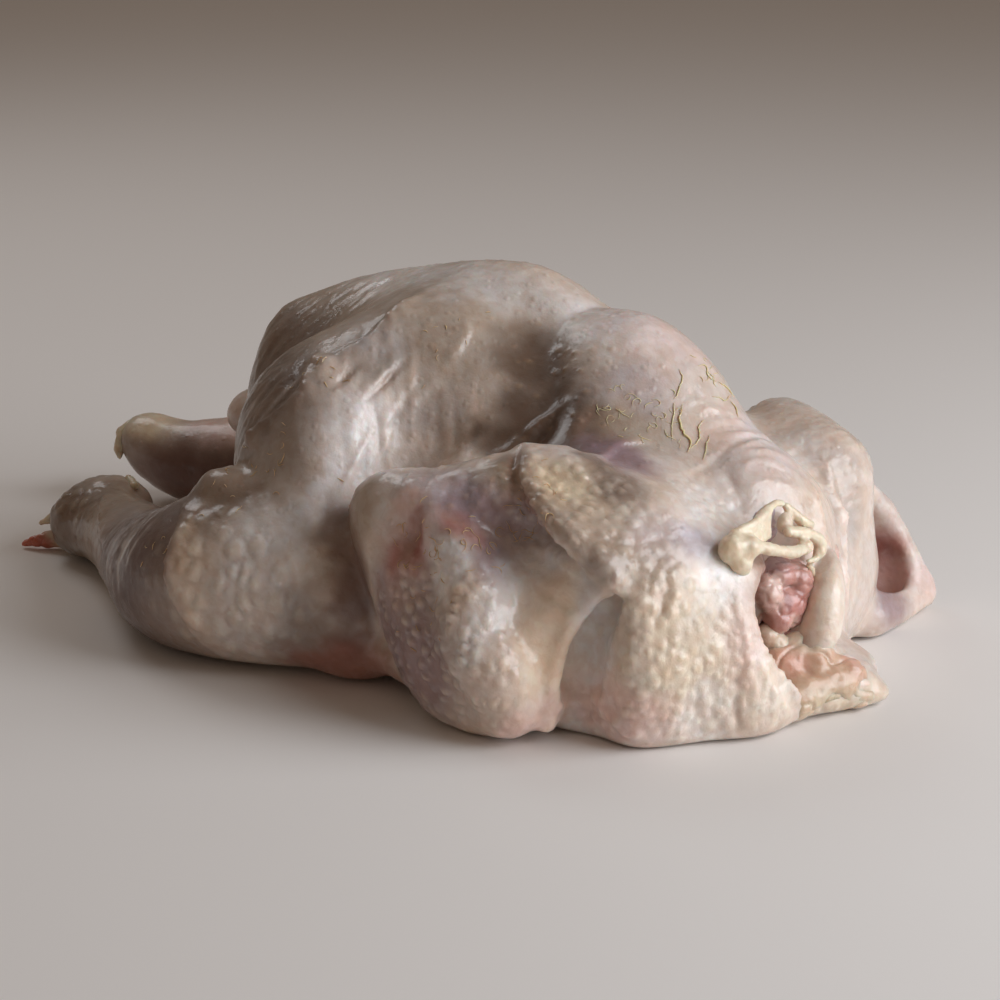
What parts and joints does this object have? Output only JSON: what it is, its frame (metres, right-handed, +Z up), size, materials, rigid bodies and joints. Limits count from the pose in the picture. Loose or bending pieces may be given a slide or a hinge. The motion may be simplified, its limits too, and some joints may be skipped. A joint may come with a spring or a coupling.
{
  "type": "whole raw chicken",
  "caption": "Whole raw chicken, plucked and drawn, lying on its breast with back up, wings folded and drumsticks stretched out behind.",
  "frame": {"origin": "centre of the bounding box's base, on the surface the bird lies on", "axes": "+X towards the neck end, along the bird and its stretched drumsticks; +Y towards the bird's left side; +Z up"},
  "size_m": [0.3064, 0.1912, 0.1038],
  "materials": {
    "skin": "moist raw poultry skin, pale cream and pink, bumpy with follicles, satin to glossy"
  },
  "bodies": {
    "root": {"chicken": "skin"}
  },
  "joints": []
}
